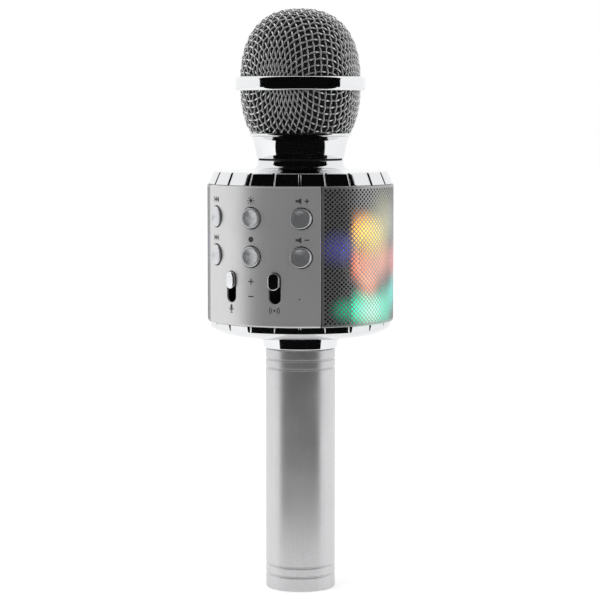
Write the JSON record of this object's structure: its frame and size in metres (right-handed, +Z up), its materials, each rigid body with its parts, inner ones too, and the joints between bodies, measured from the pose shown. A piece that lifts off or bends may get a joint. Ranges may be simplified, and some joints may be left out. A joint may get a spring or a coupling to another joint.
{
  "type": "toy microphone",
  "caption": "Handheld karaoke microphone: woven-wire ball head, chromed caps, a drum with push buttons, sliders and side speakers, and a tubular handle.",
  "frame": {"origin": "centre of the handle's foot, on the floor it stands on", "axes": "+Z up the handle to the ball head; the control panel faces -Y, the speakers +X and -X, the ports +Y"},
  "size_m": [0.078, 0.08, 0.2436],
  "materials": {
    "chrome": "mirror plated",
    "satin_silver": "fine satin, anodised",
    "panel_silver": "satin grey-silver lacquer",
    "mesh_steel": "perforated sheet, satin",
    "wire_chrome": "woven wire, plated",
    "button_chrome": "plated plastic, satin",
    "black_plastic": "moulded",
    "white_plastic": "milky, translucent",
    "board_green": "solder mask",
    "chip_white": "moulded",
    "foam_black": "open-cell foam",
    "rubber_black": "matt",
    "steel": "zinc plated",
    "paper_black": "pressed paper pulp",
    "cell_wrap": "shrink wrap",
    "socket_steel": "nickel plated"
  },
  "bodies": {
    "shell": {"handle_tube": "satin_silver", "end_cap": "satin_silver", "battery_sleeve": "black_plastic", "battery_cell": "cell_wrap", "battery_spring": "steel", "battery_contact": "steel", "handle_insert": "black_plastic", "handle_collar": "chrome", "bottom_cap": "chrome", "bottom_screws": "steel", "core_frame": "black_plastic", "core_lid": "black_plastic", "top_screws": "steel", "top_cap": "chrome", "control_panel": "panel_silver", "speaker_mesh_right": "mesh_steel", "speaker_mesh_left": "mesh_steel", "rear_panel": "panel_silver", "button_carrier": "black_plastic", "control_board": "board_green", "switch_housings": "black_plastic", "switch_domes": "steel", "slide_controls": "steel", "light_guide_right": "white_plastic", "light_guide_left": "white_plastic", "light_board_right": "board_green", "light_board_left": "board_green", "light_chips": "chip_white", "speaker_driver_right": "steel", "speaker_driver_left": "steel", "main_board": "board_green", "power_switch": "black_plastic", "usb_socket": "socket_steel", "card_socket": "socket_steel", "audio_jack": "black_plastic", "charge_socket": "socket_steel", "neck_gasket": "rubber_black", "neck_shell": "chrome", "capsule_stem": "black_plastic", "capsule_cradle": "rubber_black", "capsule": "steel", "foam_liner": "foam_black", "grille_rim": "chrome", "grille_bowl": "wire_chrome", "grille_band": "chrome", "grille_dome": "wire_chrome"},
    "previous_button": {"previous_button": "button_chrome"},
    "light_button": {"light_button": "button_chrome"},
    "volume_up_button": {"volume_up_button": "button_chrome"},
    "next_button": {"next_button": "button_chrome"},
    "record_button": {"record_button": "button_chrome"},
    "volume_down_button": {"volume_down_button": "button_chrome"},
    "power_button": {"power_button": "button_chrome"},
    "mic_volume_knob": {"mic_volume_knob": "button_chrome"},
    "remix_knob": {"remix_knob": "button_chrome"},
    "speaker_cone_right": {"speaker_cone_right": "paper_black"},
    "speaker_cone_left": {"speaker_cone_left": "paper_black"}
  },
  "joints": [
    {"name": "previous_button_press", "type": "slide", "parent": "shell", "child": "previous_button", "axis": [0, 1, 0], "range_m": [0, 0.0008], "stiffness_N_per_m": 1200, "springref_m": -0.0002},
    {"name": "light_button_press", "type": "slide", "parent": "shell", "child": "light_button", "axis": [0, 1, 0], "range_m": [0, 0.0008], "stiffness_N_per_m": 1200, "springref_m": -0.0002},
    {"name": "volume_up_button_press", "type": "slide", "parent": "shell", "child": "volume_up_button", "axis": [0, 1, 0], "range_m": [0, 0.0008], "stiffness_N_per_m": 1200, "springref_m": -0.0002},
    {"name": "next_button_press", "type": "slide", "parent": "shell", "child": "next_button", "axis": [0, 1, 0], "range_m": [0, 0.0008], "stiffness_N_per_m": 1200, "springref_m": -0.0002},
    {"name": "record_button_press", "type": "slide", "parent": "shell", "child": "record_button", "axis": [0, 1, 0], "range_m": [0, 0.0008], "stiffness_N_per_m": 1200, "springref_m": -0.0002},
    {"name": "volume_down_button_press", "type": "slide", "parent": "shell", "child": "volume_down_button", "axis": [0, 1, 0], "range_m": [0, 0.0008], "stiffness_N_per_m": 1200, "springref_m": -0.0002},
    {"name": "power_button_press", "type": "slide", "parent": "shell", "child": "power_button", "axis": [0, -1, 0], "range_m": [0, 0.0008], "stiffness_N_per_m": 1200, "springref_m": -0.0002},
    {"name": "mic_volume_knob_slide", "type": "slide", "parent": "shell", "child": "mic_volume_knob", "axis": [0, 0, 1], "range_m": [-0.0053, 0]},
    {"name": "remix_knob_slide", "type": "slide", "parent": "shell", "child": "remix_knob", "axis": [0, 0, 1], "range_m": [-0.0053, 0]},
    {"name": "speaker_cone_right_throw", "type": "slide", "parent": "shell", "child": "speaker_cone_right", "axis": [1, 0, 0], "range_m": [-0.0008, 0.0008], "stiffness_N_per_m": 1500},
    {"name": "speaker_cone_left_throw", "type": "slide", "parent": "shell", "child": "speaker_cone_left", "axis": [-1, 0, 0], "range_m": [-0.0008, 0.0008], "stiffness_N_per_m": 1500}
  ]
}
